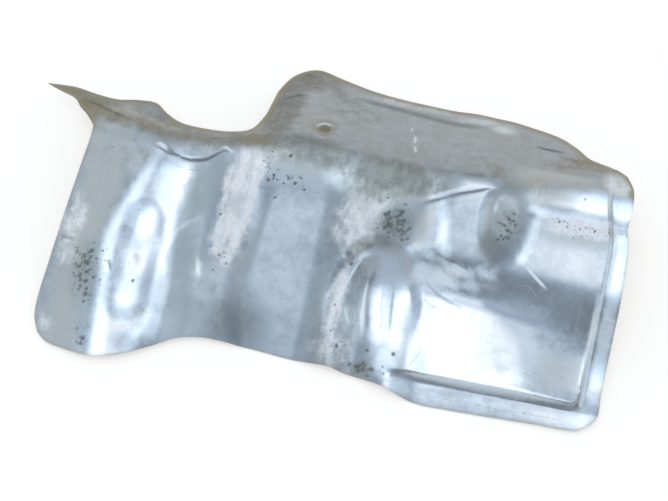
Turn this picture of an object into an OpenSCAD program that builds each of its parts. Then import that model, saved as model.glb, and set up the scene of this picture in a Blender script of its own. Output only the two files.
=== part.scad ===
// Exhaust manifold heat shield, pressed from one aluminium sheet.
// The sheet is a height field over its plan: two faces meet in a rounded bend, and the drawn
// relief is added to them. Guide curves give the trimmed edge, and the ridge runs between them.
// Millimetres, +X along the shield, +Y from the front edge to the back edge, +Z up.

/* [Sheet] */
// Length of the shield
shield_l = 434; // [380:1:500]
// Depth of the shield, from the front edge to the back edge
shield_d = 258; // [225:1:300]
// Thickness of the sheet
sheet_t = 1; // [0.7:0.1:2]
// Height of the ridge in the middle of the shield
ridge_h = 52; // [44:1:60]
// How gently the front face turns into the back panel
bend_w = 7; // [4:0.5:12]
// Lift of the front edge between the left bulge and the pan
front_lift = 2; // [1:0.5:5]
// Slope of the back panel, as fall over run
back_fall = 0.61; // [0.5:0.01:0.7]
// Slope at which the left end falls away from the rib
left_tilt = 0.13; // [0.05:0.01:0.25]

/* [Pan] */
// Height of the flange at the front of the pan
flange_lift = 7; // [4:0.5:10]
// Drop from the pan to the flange at the front
pan_drop = 6; // [3:0.5:9]
// Width of the front flange
flange_w = 14; // [10:0.5:20]
// Width of the right flange
side_flange_w = 12; // [8:0.5:18]
// Run of the pan wall in plan
wall_run = 4; // [3:0.5:8]
// Corner radius of the pan
pan_corner_r = 8; // [5:0.5:15]
// Slope of the pan below its ramp
pan_slope = 0.18; // [0.05:0.01:0.25]
// Slope of the ramp across the pan
ramp_slope = 0.7; // [0.5:0.01:0.8]
// Length of the ramp in plan
ramp_run = 20; // [12:1:26]
// Slope of the face above the ramp
upper_slope = 0.32; // [0.25:0.01:0.45]
// Slope of the facet along the ridge, behind the fold
facet_slope = 0.2; // [0.1:0.01:0.24]
// Rise of the fold in front of the facet
fold_h = 1.4; // [0.5:0.1:2.5]
// Drop of the pan towards its right end
curl_d = 4; // [1:0.5:6]

/* [Knuckles] */
// Rise of the first knuckle
knuckle1_h = 4; // [2:0.5:8]
// Half width of the first knuckle in plan
knuckle1_r = 26; // [18:1:32]
// Rise of the second knuckle
knuckle2_h = 5; // [2:0.5:8]
// Half length and half width of the second knuckle in plan
knuckle2_r = [17, 27];
// Rise of the crease that runs up to the second knuckle
crease_h = 1.3; // [0.5:0.1:2]

/* [Rib] */
// Rise of the left rib over the valley beside it
rib_h = 3.4; // [1:0.2:6]
// Rise of the oval in the crown of the rib
oval_h = 1.1; // [0.5:0.1:2]
// Half width of the oval in the crown of the rib
oval_r = 10.5; // [8:0.5:13]

/* [Valleys] */
// Rise of the ridge on the left of the broad valley
ridge1_h = 1.2; // [0.5:0.1:3]
// Rise of the bulge at the front of that ridge
bulge_h = 2.4; // [1:0.2:4]
// Rise of the ground on the right of the broad valley
ridge2_h = 4.2; // [2:0.2:6]
// Depth of the pocket under the first knuckle
pocket_d = 3; // [1:0.5:5]
// Rise of the crest on the left of the pocket
crest_h = 1.8; // [0.5:0.1:3]
// Depth of the groove behind that crest
groove_d = 1.5; // [0.5:0.1:3]

/* [Bolt hole] */
// Diameter of the bolt hole
hole_d = 9; // [5:0.5:11]
// Radius of the flat pad round the hole
pad_r = 9; // [8:0.5:12]

/* [Hidden] */

// Plan as drawn, which the length and the depth stretch
drawn_l = 434;
drawn_d = 258;
stretch = [shield_l / drawn_l, shield_d / drawn_d];

// Trimmed edge as drawn, as stations that face each other across the sheet
front_edge = [
    [-191, -96], [-183, -102], [-170, -105], [-156, -107], [-141, -105.5], [-126, -100],
    [-112, -92], [-99, -84], [-87.5, -79.5], [-75.5, -77.5], [-64.5, -77.5], [-54.5, -77.5], [-45.5, -77.5],
    [-35.5, -78], [-22.5, -79], [-6, -80], [11.5, -81.5], [29.5, -83.5], [48, -87], [64, -91.5],
    [80, -94], [98, -94], [118, -93.5], [138, -93], [158, -92.5], [174, -92.5], [185, -92],
    [190, -90.5], [195.5, -86.5]
];
ridge_x = [
    -187.5, -181, -172, -160, -147, -134, -121, -108, -96, -84, -73, -63, -54, -44, -32, -18,
    -1, 18, 38, 57, 76, 96, 118, 138, 156, 170, 182, 190, 198
];
back_edge = [
    [-232.5, 91], [-212, 91.5], [-193, 88], [-178, 86.5], [-164, 88.5], [-150, 88], [-139.5, 80],
    [-126, 72.5], [-105.5, 69], [-87, 67.5], [-75, 71.5], [-69.5, 87.5], [-68, 106], [-66.5, 124],
    [-59, 142], [-43, 151], [-22, 145], [0, 138.5], [22, 135], [46, 134], [70, 133.5],
    [93.5, 131.5], [117.5, 130], [138, 123], [153.5, 110.5], [163.5, 99.5], [175.5, 94.5], [184, 92.5],
    [191.5, 87.5]
];
left_edge = [[-191, -96], [-196, -84], [-196.5, -67.5], [-194.5, -45.5], [-191.5, -4.5], [-189, 27],
    [-187.5, 55.5]];
right_edge = [[195.5, -86.5], [200.5, -79], [200.5, -61], [201.5, -16.5], [201.5, 10.5], [200.5, 31],
    [197.5, 43], [198.5, 53], [198, 64.5]];
gusset_edge = [[-187.5, 55.5], [-195, 65.5], [-202, 73], [-209.5, 82], [-221, 86.5], [-232.5, 91]];
shoulder_edge = [[198, 64.5], [196.5, 76], [191.5, 87.5]];

// Lines along the shield, as points of x and y
ridge_line = [[-240, 60], [-187, 60], [-165, 61], [-147, 56], [-125, 53], [-96, 53], [-73, 55.5], [-50, 61],
    [-32, 62.5], [0, 61.5], [57, 60.5], [100, 61], [118, 58.5], [130, 60], [145, 64], [160, 65], [185, 65],
    [205, 64.5]];
front_run = [[-195, -101], [-156, -104.5], [-126, -99.5], [-99, -84.5], [-75, -79.5], [-35, -79.5],
    [12, -82.5], [48, -86.5], [80, -93], [205, -92.5]];
fold_line = [[110, 50], [130, 48], [160, 46.5], [205, 45.5]];
crease_line = [[50, 32], [60, 38], [70, 42], [80, 46], [97, 52], [108, 55]];

// Lines across the shield, as points of y and x
left_crown = [[-105, -150], [-60, -155], [-25, -160], [0, -153], [21, -145], [38, -137], [60, -130]];
rib_right = [[-100, -110], [-82, -104], [-60, -99], [-40, -99], [-20, -104], [0, -103], [38, -105]];
ridge1_right = [[-85, -50], [-60, -58], [-40, -62], [-20, -60], [30, -54]];
pocket_crest = [[-85, 14], [-65, 8], [-45, 8], [-25, 12], [-8, 22], [2, 32]];
pan_left = [[-95, 26], [-70, 22], [-45, 20], [-25, 22], [-10, 30], [4, 46], [20, 52], [40, 57], [120, 60]];
pan_right = [[-90, 200], [-20, 201], [15, 202], [32, 201], [42, 199], [52, 196.5], [70, 194.5], [95, 192.5]];

// Heights and shares along the shield, as points of x and value
ridge_dip = [[-240, 17], [-184, 16], [-150, 14], [-125, 12], [-100, 8], [-73, 2], [-40, 0.5], [20, 0],
    [60, 1], [96, 2], [118, 3], [205, 8]];
front_rise = [[-200, 2.2], [-165, 2.2], [-140, 2], [-117, 1.8], [-99, 1.4], [-80, 1],
    [-50, 1], [-20, 0.9], [22, 0.8], [48, 0.6], [62, 0.5], [205, 0.5]];
fall_share = [[-240, 1.6], [-184, 1.55], [-150, 1.4], [-110, 1.25], [-80, 1.06], [-50, 1], [96, 1],
    [118, 1], [145, 1.05], [170, 1], [205, 1]];
ledge_line = [[-240, 16], [-190, 19], [-160, 21], [-140, 24], [-110, 28], [-85, 24], [-70, 6],
    [-50, 1], [60, 1], [130, 1], [150, 6], [170, 12], [205, 16]];
bend_share = [[-190, 0.5], [-120, 0.65], [-60, 1], [0, 1], [60, 0.8], [100, 0.65], [200, 0.5]];

// Widths over which the faces turn
crown = 2.5;
ledge_bend_w = 5;
foot_bend_w = 6;
foot_end_w = 30;
head_bend_w = 6;
fold_w = 12;
facet_bend_w = 4;
lip_bend_w = 1;
left_bend_w = 3;

// Places of the features as drawn
hole_at = [-24, 82];
knuckle1_x = 37;
knuckle2_at = [114, 36];
ramp_at = [90, -16];
ramp_lean = 0.06;
pan_front_y = -93;
oval_ends = [[-133, -8], [-135, -64]];
oval_waist = [-36, 12, 0.35];
pocket_at = [34, -45];
pocket_r = [33, 49];
pocket_wall = 0.26;
groove_x = 27;
ridge1_lean = 0.04;
ridge2_lean = 0.02;
bulge_back = 3;
knuckle2_shoulder = 0.85;
knuckle2_wall = [0.5, 0.9];
knuckle2_fall_share = 0.5;
rib_low_share = 0.6;
side_run_share = 0.7;
side_drop_share = 0.36;
crease_w = 4;

// Zones as drawn in which a form grows from nothing to its full size
pan_lower = [14, -2];
pan_blend_w = 24;
pan_full_x = 70;
foot_zone = [100, 180];
fold_zone = [122, 144];
relief_zone = [54, 18];
left_zone = [84, 40];
rib_low_zone = [-40, -70];
rib_fall_w = 28;
oval_fall_w = 9;
ridge1_rise = [-95, -77];
ridge1_zone = [-56, -26];
ridge1_fall_w = 11;
bulge_zone = [-26, -56];
bulge_rise = [-112, -92];
bulge_fall_w = 22;
ridge2_rise = [-10.5, 6.5];
ridge2_end = [62, 14];
plain_zone = [86, 50];
knuckle1_front = [-22, 18];
knuckle1_back = [72, 22];
knuckle2_back = [74, 34];
knuckle2_right = [102, 132];
knuckle2_soft = [108, 126];
pocket_zone = [-62, -22];
crest_zone = [8, -8];
groove_zone = [-4, -24];
crest_w = 8;
crease_zone = [50, 64];
crease_end = [108, 98];
crease_back = [16, 2];
curl_zone = [137, 183];
curl_back = [-8, -44];
curl_front = [-96, -62];
joggle_zone = [50, 76];
joggle_back = [108, 78];
joggle_side = [-78, -66];
drop_zone = [-66, -6];

// Mesh of the sheet
cells_per_station = 3;
face_run = 154 * stretch[1];
face_shares = [0.05, 0.11, 0.18, 0.25, 0.31, 0.36, 0.41, 0.46, 0.5, 0.55, 0.6, 0.66, 0.72, 0.78, 0.84, 0.89,
    0.93, 0.965, 1];
panel_rows = [0.05, 0.13, 0.25, 0.38, 0.51, 0.64, 0.76, 0.87, 0.94, 1];
side_fade = 0.14;

function ramp(q, w) = (q + sqrt(q * q + w * w)) / 2;
function bend(a, b, w) = a - ramp(a - b, w);
function mix(a, b, k) = a * (1 - k) + b * k;
function swell(t) = exp(-t * t);
function oval(p, c, r) = norm([(p[0] - c[0]) / r[0], (p[1] - c[1]) / r[1]]);
function ease(t) =
    let (c = min(1, max(0, t)))
    c * c * (3 - 2 * c);
function step(q, w) = ease(q / w + 0.5);
function share(v, zone) = ease((v - zone[0]) / (zone[1] - zone[0]));
function place(q) = [q[0] * stretch[0], q[1] * stretch[1]];
function drawing(p) = [p[0] / stretch[0], p[1] / stretch[1]];

// Distance from a point to the line between two others
function to_line(q, a, b) =
    let (t = (q - a) * (b - a) / ((b - a) * (b - a)))
    norm(q - mix(a, b, min(1, max(0, t))));

// Value at x of a smooth line through points of x and value
function slope_at(pts, i) =
    let (a = pts[max(i - 1, 0)], b = pts[min(i + 1, len(pts) - 1)])
    (b[1] - a[1]) / (b[0] - a[0]);
function segment(x, pts, i = 0) = i >= len(pts) - 2 || x < pts[i + 1][0] ? i : segment(x, pts, i + 1);
function track(x, pts) =
    let (
        c = min(pts[len(pts) - 1][0], max(pts[0][0], x)),
        i = segment(c, pts),
        h = pts[i + 1][0] - pts[i][0],
        t = (c - pts[i][0]) / h,
        k = t * t * (3 - 2 * t)
    )
    mix(pts[i][1], pts[i + 1][1], k)
        + h * t * (1 - t) * ((1 - t) * slope_at(pts, i) - t * slope_at(pts, i + 1));

// Point of a smooth curve through its stations, with t counted in stations
function curve(pts, t) =
    let (
        n = len(pts),
        i = min(floor(t), n - 2),
        f = t - i,
        a = pts[max(i - 1, 0)],
        b = pts[i],
        c = pts[i + 1],
        d = pts[min(i + 2, n - 1)]
    )
    (2 * b + (c - a) * f + (2 * a - 5 * b + 4 * c - d) * f * f + (3 * b - a - 3 * c + d) * f * f * f) / 2;

// Height of the faces before the relief is drawn
pan_front = pan_front_y * stretch[1] + flange_w;
function plain_face(q) =
    let (
        low = front_lift * track(q[0], front_rise),
        high = ridge_h + crown - track(q[0], ridge_dip),
        start = track(q[0], front_run)
    )
    mix(low, high, (q[1] - start) / (track(q[0], ridge_line) - start));
function fold(q) =
    let (off = (q[1] - track(q[0], fold_line)) * stretch[1])
    share(q[0], fold_zone) * (fold_h * step(off, fold_w) - (upper_slope - facet_slope) * ramp(off, facet_bend_w));
function pan_face(q) =
    let (
        off = place(q - ramp_at),
        up = off[1] + ramp_lean * off[0],
        foot_w = mix(foot_bend_w, foot_end_w, share(q[0], foot_zone)),
        floor_rise = pan_slope * (q[1] * stretch[1] - pan_front),
        ramp_rise = (ramp_slope - pan_slope) * ramp(up, foot_w),
        ramp_end = (ramp_slope - upper_slope) * ramp(up - ramp_run, head_bend_w)
    )
    flange_lift + pan_drop + floor_rise + ramp_rise - ramp_end + fold(q);
function front_face(q) =
    let (
        left = track(q[1], pan_left),
        full = mix(left + pan_blend_w, pan_full_x, share(q[1], pan_lower))
    )
    mix(plain_face(q), pan_face(q), share(q[0], [left, full]));
function back_face(q) =
    let (
        ledge = track(q[0], ledge_line),
        ridge = track(q[0], ridge_line),
        fall = back_fall * track(q[0], fall_share) * stretch[1]
    )
    ledge + ramp(front_face([q[0], ridge]) - fall * (q[1] - ridge) - ledge, ledge_bend_w);
function faces(q) = bend(front_face(q), back_face(q), bend_w * track(q[0], bend_share));

// Relief drawn into the faces
function left_end(q) = -left_tilt * ramp(track(q[1], left_crown) - q[0], left_bend_w) * share(q[1], left_zone);
function rib(q) =
    let (
        rim = to_line(q, oval_ends[0], oval_ends[1]) - oval_r,
        waist = 1 - oval_waist[2] * swell((q[1] - oval_waist[0]) / oval_waist[1])
    )
    rib_h * (1 - step(q[0] - track(q[1], rib_right), rib_fall_w))
        * mix(1, rib_low_share, share(q[1], rib_low_zone))
        + oval_h * waist * (1 - step(rim, oval_fall_w));
function ridge1(q) =
    let (
        off = q[0] - track(q[1], ridge1_right),
        fall = step(off, ridge1_fall_w),
        rise = share(q[0] - ridge1_lean * q[1], ridge1_rise) * share(q[1], ridge1_zone),
        bulge = share(q[0], bulge_rise) * (1 - step(off + bulge_back, bulge_fall_w))
    )
    ridge1_h * (rise * (1 - fall) - fall) + bulge_h * share(q[1], bulge_zone) * bulge;
function ridge2(q) = ridge2_h * share(q[0] - ridge2_lean * q[1], ridge2_rise) * share(q[0], ridge2_end);
function knuckle1(q) =
    let (off = (q[0] - knuckle1_x) * stretch[0])
    knuckle1_h * swell(off / knuckle1_r) * share(q[1], knuckle1_front) * share(q[1], knuckle1_back);
function pocket(q) =
    let (
        rim = oval(q, pocket_at, pocket_r),
        crest = swell((q[0] - track(q[1], pocket_crest)) / crest_w) * share(q[1], crest_zone),
        groove = swell((q[0] - groove_x) / crest_w) * share(q[1], groove_zone)
    )
    crest_h * crest - groove_d * groove
        - pocket_d * (1 - step(rim - 1, pocket_wall)) * share(q[1], pocket_zone);
function knuckle2(q) =
    let (
        rim = oval(place(q), place(knuckle2_at), knuckle2_r),
        wall = mix(knuckle2_wall[0], knuckle2_wall[1], share(q[0], knuckle2_soft)),
        dome = (1 - step(rim - knuckle2_shoulder, wall)) * share(q[1], knuckle2_back)
    )
    knuckle2_h * dome * (1 - knuckle2_fall_share * share(q[0], knuckle2_right));
function crease(q) =
    let (
        off = q[1] - track(q[0], crease_line),
        along = share(q[0], crease_zone) * share(q[0], crease_end)
    )
    crease_h * along * step(off, crease_w) * share(off, crease_back);
function curl(q) = -curl_d * share(q[0], curl_zone) * share(q[1], curl_back) * share(q[1], curl_front);
function relief(q) =
    left_end(q) + crease(q) + knuckle2(q) + curl(q)
        + (rib(q) + ridge1(q) + ridge2(q)) * share(q[1], relief_zone)
        + (knuckle1(q) + pocket(q)) * share(q[0], plain_zone);

// Joggle from the pan down to its flange
function outside_pan(q) =
    let (
        dx = (q[0] - track(q[1], pan_right)) * stretch[0] + side_flange_w + pan_corner_r,
        dy = pan_front - q[1] * stretch[1] + pan_corner_r
    )
    norm([max(dx, 0), max(dy, 0)]) + min(max(dx, dy), 0) - pan_corner_r;
function joggled(q, z) =
    let (
        run = wall_run * mix(1, side_run_share, share(q[1], joggle_side)),
        grown = share(q[0], joggle_zone),
        k = ease(outside_pan(q) / run + 1) * grown * share(q[1], joggle_back),
        lip = (upper_slope - pan_slope) * ramp(pan_front - q[1] * stretch[1], lip_bend_w) * grown
    )
    z - lip - pan_drop * k * mix(1, side_drop_share, share(q[1], drop_zone));

// Flat pad round the bolt hole
function drawn(q) = joggled(q, faces(q) + relief(q));
pad_at = place(hole_at);
pad_step = 2;
pad_z = drawn(hole_at);
pad_tilt = [
    (drawn(hole_at + [pad_step, 0]) - drawn(hole_at - [pad_step, 0])) / (2 * pad_step * stretch[0]),
    (drawn(hole_at + [0, pad_step]) - drawn(hole_at - [0, pad_step])) / (2 * pad_step * stretch[1])
];
function height(p) =
    let (off = p - pad_at)
    mix(pad_z + pad_tilt * off, drawn(drawing(p)), ease(norm(off) / pad_r - 1));

// Net of plan points: front edge to ridge, then ridge to back edge
stations = len(front_edge) - 1;
columns = stations * cells_per_station;
foot = flange_w / face_run;
wall_top = (flange_w + wall_run) / face_run;
face_rows = concat(
    [0, foot / 2, foot, (foot + wall_top) / 2, wall_top],
    [for (s = face_shares) mix(wall_top, 1, s)]
);
ridge_points = [for (x = ridge_x) [x, track(x, ridge_line)]];

function along(pts, v) = curve(pts, v * (len(pts) - 1));
function strip(near, far, left, right, t, v) =
    let (
        u = t / stations,
        n = stations,
        p = mix(curve(near, t), curve(far, t), v),
        to_left = along(left, v) - mix(near[0], far[0], v),
        to_right = along(right, v) - mix(near[n], far[n], v)
    )
    place(p + to_left * pow(max(0, 1 - u / side_fade), 2) + to_right * pow(max(0, 1 - (1 - u) / side_fade), 2));
function plan_column(t) = concat(
    [for (v = face_rows) strip(front_edge, ridge_points, left_edge, right_edge, t, v)],
    [for (v = panel_rows) strip(ridge_points, back_edge, gusset_edge, shoulder_edge, t, v)]
);
plan = [for (i = [0:columns]) plan_column(i / cells_per_station)];
rows = len(plan[0]) - 1;
top = [for (column = plan) [for (p = column) [p[0], p[1], height(p)]]];

// Lower side, one thickness below the upper side along its normal
function normal(i, j) =
    let (
        along_x = top[min(i + 1, columns)][j] - top[max(i - 1, 0)][j],
        along_y = top[i][min(j + 1, rows)] - top[i][max(j - 1, 0)],
        n = cross(along_x, along_y)
    )
    n / norm(n);
bottom = [for (i = [0:columns]) [for (j = [0:rows]) top[i][j] - sheet_t * normal(i, j)]];

// Outer box, which sets the origin under its middle
all_points = [for (side = [top, bottom]) for (column = side) for (p = column) p];
low = [for (k = [0:2]) min([for (p = all_points) p[k]])];
high = [for (k = [0:2]) max([for (p = all_points) p[k]])];
origin = [(low[0] + high[0]) / 2, (low[1] + high[1]) / 2, low[2]];

// Triangles of the closed sheet
count = (columns + 1) * (rows + 1);
function at(i, j) = i * (rows + 1) + j;
function cell(a, b, c, d) = [[a, b, c], [a, c, d]];
upper_faces = [for (i = [0:columns - 1]) for (j = [0:rows - 1])
    each cell(at(i, j), at(i, j + 1), at(i + 1, j + 1), at(i + 1, j))];
lower_faces = [for (f = upper_faces) [f[2] + count, f[1] + count, f[0] + count]];
rim = concat(
    [for (i = [0:columns]) at(i, 0)],
    [for (j = [1:rows]) at(columns, j)],
    [for (i = [1:columns]) at(columns - i, rows)],
    [for (j = [1:rows - 1]) at(0, rows - j)]
);
rim_faces = [for (k = [0:len(rim) - 1])
    let (a = rim[k], b = rim[(k + 1) % len(rim)])
    each cell(a, b, b + count, a + count)];

module sheet() {
    polyhedron(points = all_points, faces = concat(upper_faces, lower_faces, rim_faces));
}

module bolt_bore() {
    axis = [-pad_tilt[0], -pad_tilt[1], 1];
    bore_l = 12 * sheet_t;
    translate([pad_at[0], pad_at[1], pad_z])
        rotate(a = acos(1 / norm(axis)), v = [-axis[1], axis[0], 0])
            cylinder(h = bore_l, d = hole_d, center = true, $fn = 48);
}

module heat_shield() {
    color("silver")
        translate(-origin)
            difference() {
                sheet();
                bolt_bore();
            }
}

heat_shield();
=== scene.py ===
import math
import bpy
import numpy as np
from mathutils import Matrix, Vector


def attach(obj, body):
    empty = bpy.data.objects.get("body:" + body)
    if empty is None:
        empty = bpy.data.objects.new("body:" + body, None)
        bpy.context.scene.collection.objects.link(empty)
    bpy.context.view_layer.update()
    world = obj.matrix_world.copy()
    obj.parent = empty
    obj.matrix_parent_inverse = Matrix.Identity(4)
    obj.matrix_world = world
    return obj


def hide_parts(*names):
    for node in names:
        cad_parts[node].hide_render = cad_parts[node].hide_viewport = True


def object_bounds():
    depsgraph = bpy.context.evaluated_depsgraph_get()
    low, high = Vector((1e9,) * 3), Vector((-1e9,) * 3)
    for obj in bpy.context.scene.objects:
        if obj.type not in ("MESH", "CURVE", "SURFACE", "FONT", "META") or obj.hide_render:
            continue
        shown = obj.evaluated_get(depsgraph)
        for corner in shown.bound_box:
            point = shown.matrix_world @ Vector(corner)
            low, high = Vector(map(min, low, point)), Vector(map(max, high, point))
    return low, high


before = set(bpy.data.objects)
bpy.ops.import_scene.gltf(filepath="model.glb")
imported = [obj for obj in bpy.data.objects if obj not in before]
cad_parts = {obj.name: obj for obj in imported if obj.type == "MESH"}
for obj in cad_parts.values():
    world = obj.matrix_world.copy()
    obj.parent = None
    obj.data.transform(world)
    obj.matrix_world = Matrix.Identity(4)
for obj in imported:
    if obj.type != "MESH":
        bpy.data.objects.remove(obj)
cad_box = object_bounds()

# Form of the sheet in plan millimetres, as in the part's source
SHEET_T = 1.0
RIDGE_H = 52.0
BEND_W = 7.0
FRONT_LIFT = 2.0
BACK_FALL = 0.61
PAN_DROP = 6.0
FLANGE_W = 14.0
SIDE_FLANGE_W = 12.0
WALL_RUN = 4.0
PAN_CORNER_R = 8.0
LOWER_SLOPE = 0.18
RAMP_SLOPE = 0.70
UPPER_SLOPE = 0.32
FACET_SLOPE = 0.2
RAMP_RUN = 20.0
FOLD_H = 1.1
KNUCKLE1_H = 4.0
KNUCKLE1_R = (26.0, 24.0)
KNUCKLE2_H = 4.7
KNUCKLE2_R = (17.0, 27.0)
HOLE_D = 9.0
HOLE_AT = np.array([-24.0, 82.0])
PAD_R = 9.0
LEFT_TILT = 0.13
RIB_H = 1.1
RIB_STEP = 3.4
RIDGE1_H = 1.2
RIDGE2_H = 4.2
POCKET_D = 3.0
CURL_D = 4.0
CREASE_H = 0.5

FRONT_EDGE = [
    (-191, -96), (-183, -102), (-170, -105), (-156, -107), (-141, -105.5), (-126, -100),
    (-112, -92), (-99, -84), (-87.5, -79.5), (-75.5, -77.5), (-64.5, -77.5), (-54.5, -77.5), (-45.5, -77.5),
    (-35.5, -78), (-22.5, -79), (-6, -80), (11.5, -81.5), (29.5, -83.5), (48, -87), (64, -91.5),
    (80, -94), (98, -94), (118, -93.5), (138, -93), (158, -92.5), (174, -92.5), (185, -92),
    (190, -90.5), (195.5, -86.5),
]
RIDGE_X = [
    -187.5, -181, -172, -160, -147, -134, -121, -108, -96, -84, -73, -63, -54, -44, -32, -18,
    -1, 18, 38, 57, 76, 96, 118, 138, 156, 170, 182, 190, 198,
]
BACK_EDGE = [
    (-232.5, 91), (-212, 91.5), (-193, 88), (-178, 86.5), (-164, 88.5), (-150, 88), (-139.5, 80),
    (-126, 72.5), (-105.5, 69), (-87, 67.5), (-75, 71.5), (-69.5, 87.5), (-68, 106), (-66.5, 124),
    (-59, 142), (-43, 151), (-22, 145), (0, 138.5), (22, 135), (46, 134), (70, 133.5),
    (93.5, 131.5), (117.5, 130), (138, 123), (153.5, 110.5), (163.5, 99.5), (175.5, 94.5), (184, 92.5), (191.5, 87.5),
]
LEFT_EDGE = [(-191, -96), (-196, -84), (-196.5, -67.5), (-194.5, -45.5), (-191.5, -4.5), (-189, 27), (-187.5, 55.5)]
RIGHT_EDGE = [(195.5, -86.5), (200.5, -79), (200.5, -61), (201.5, -16.5), (201.5, 10.5), (200.5, 31), (197.5, 43),
              (198.5, 53), (198, 64.5)]
GUSSET_EDGE = [(-187.5, 55.5), (-195, 65.5), (-202, 73), (-209.5, 82), (-221, 86.5), (-232.5, 91)]
SHOULDER_EDGE = [(198, 64.5), (196.5, 76), (191.5, 87.5)]

RIDGE_LINE = [(-240, 60), (-187, 60), (-165, 61), (-147, 56), (-125, 53), (-96, 53), (-73, 55.5), (-50, 61),
              (-32, 62.5), (0, 61.5), (57, 60.5), (100, 61), (118, 58.5), (130, 60), (145, 64), (160, 65), (185, 65),
              (205, 64.5)]
RIDGE_DIP = [(-240, 17), (-184, 16), (-150, 14), (-125, 12), (-100, 8), (-73, 2), (-40, 0.5), (20, 0),
             (60, 1), (96, 2), (118, 3), (205, 8)]
FRONT_RUN = [(-195, -101), (-156, -104.5), (-126, -99.5), (-99, -84.5), (-75, -79.5), (-35, -79.5),
             (12, -82.5), (48, -86.5), (80, -93), (205, -92.5)]
FRONT_RISE = [(-200, 2.2), (-165, 2.2), (-140, 2), (-117, 1.8), (-99, 1.4), (-80, 1),
              (-50, 1), (-20, 0.9), (22, 0.8), (48, 0.6), (62, 0.5), (205, 0.5)]
FALL_SHARE = [(-240, 1.6), (-184, 1.55), (-150, 1.4), (-110, 1.25), (-80, 1.06), (-50, 1), (96, 1),
              (118, 1), (145, 1.05), (170, 1), (205, 1)]
LEDGE_LINE = [(-240, 16), (-190, 19), (-160, 21), (-140, 24), (-110, 28), (-85, 24), (-70, 6),
              (-50, 1), (60, 1), (130, 1), (150, 6), (170, 12), (205, 16)]
BEND_SHARE = [(-190, 0.5), (-120, 0.65), (-60, 1), (0, 1), (60, 0.8), (100, 0.65), (200, 0.5)]
PAN_LEFT = [(-95, 26), (-70, 22), (-45, 20), (-25, 22), (-10, 30), (4, 46), (20, 52), (40, 57), (120, 60)]

PAN_FRONT = -93 + FLANGE_W
PAN_RIGHT = [(-90, -1.5), (-20, -0.5), (15, 0.5), (32, -0.5), (42, -2.5), (52, -5), (70, -7), (95, -9)]
RAMP_AT = -16.0
RAMP_LEAN = 0.06
CROWN = 2.5
SIDE_FADE = 0.14


def ramp(q, w):
    return (q + np.sqrt(q * q + w * w)) / 2


def bend(a, b, w):
    return a - ramp(a - b, w)


def mix(a, b, k):
    return a * (1 - k) + b * k


def swell(t):
    return np.exp(-t * t)


def oval(x, y, c, r):
    return np.hypot((x - c[0]) / r[0], (y - c[1]) / r[1])


def ease(t):
    c = np.clip(t, 0, 1)
    return c * c * (3 - 2 * c)


def track(x, pts):
    xs, ys = np.array(pts, float).T
    tangent = np.gradient(ys)
    tangent[1:-1] = (ys[2:] - ys[:-2]) / (xs[2:] - xs[:-2])
    tangent[0] = (ys[1] - ys[0]) / (xs[1] - xs[0])
    tangent[-1] = (ys[-1] - ys[-2]) / (xs[-1] - xs[-2])
    x = np.clip(x, xs[0], xs[-1])
    i = np.clip(np.searchsorted(xs, x, side="right") - 1, 0, len(xs) - 2)
    h = xs[i + 1] - xs[i]
    t = (x - xs[i]) / h
    return (mix(ys[i], ys[i + 1], t * t * (3 - 2 * t))
            + h * t * (1 - t) * ((1 - t) * tangent[i] - t * tangent[i + 1]))


def curve(pts, t):
    p = np.array(pts, float)
    n = len(p)
    i = np.minimum(np.floor(t).astype(int), n - 2)
    f = (t - i)[:, None]
    a, b, c, d = p[np.maximum(i - 1, 0)], p[i], p[i + 1], p[np.minimum(i + 2, n - 1)]
    return (2 * b + (c - a) * f + (2 * a - 5 * b + 4 * c - d) * f * f + (3 * b - a - 3 * c + d) * f ** 3) / 2


def step(q, w):
    return ease(q / w + 0.5)


def spine(x, y, p, q):
    along = np.clip(((x - p[0]) * (q[0] - p[0]) + (y - p[1]) * (q[1] - p[1]))
                    / ((q[0] - p[0]) ** 2 + (q[1] - p[1]) ** 2), 0, 1)
    return np.hypot(x - mix(p[0], q[0], along), y - mix(p[1], q[1], along))


def plain_face(x, y):
    low = FRONT_LIFT * track(x, FRONT_RISE)
    start = track(x, FRONT_RUN)
    high = RIDGE_H + CROWN - track(x, RIDGE_DIP)
    return mix(low, high, (y - start) / (track(x, RIDGE_LINE) - start))


def fold(x, y):
    line = track(x, [(110, 50), (130, 48), (160, 46.5), (205, 45.5)])
    up = ease((x - 122) / 22)
    return up * (FOLD_H * step(y - line, 12) - (UPPER_SLOPE - FACET_SLOPE) * ramp(y - line, 4))


def pan_face(x, y):
    foot_w = mix(6, 30, ease((x - 100) / 80))
    up = y - RAMP_AT + RAMP_LEAN * (x - 90)
    rise = LOWER_SLOPE * (y - PAN_FRONT) + (RAMP_SLOPE - LOWER_SLOPE) * ramp(up, foot_w)
    return PAN_DROP + 7 + rise - (RAMP_SLOPE - UPPER_SLOPE) * ramp(up - RAMP_RUN, 6) + fold(x, y)


def front_face(x, y):
    left = track(y, PAN_LEFT)
    return mix(plain_face(x, y), pan_face(x, y), ease((x - left) / mix(24, 70 - left, ease((14 - y) / 16))))


def back_face(x, y):
    ledge = track(x, LEDGE_LINE)
    ridge = track(x, RIDGE_LINE)
    fall = BACK_FALL * track(x, FALL_SHARE)
    return ledge + ramp(front_face(x, ridge) - fall * (y - ridge) - ledge, 5)


def faces(x, y):
    return bend(front_face(x, y), back_face(x, y), BEND_W * track(x, BEND_SHARE))


def left_end(x, y):
    crown = track(y, [(-105, -150), (-60, -155), (-25, -160), (0, -153), (21, -145), (38, -137), (60, -130)])
    return -LEFT_TILT * ramp(crown - x, 3) * ease((84 - y) / 44)


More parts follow.
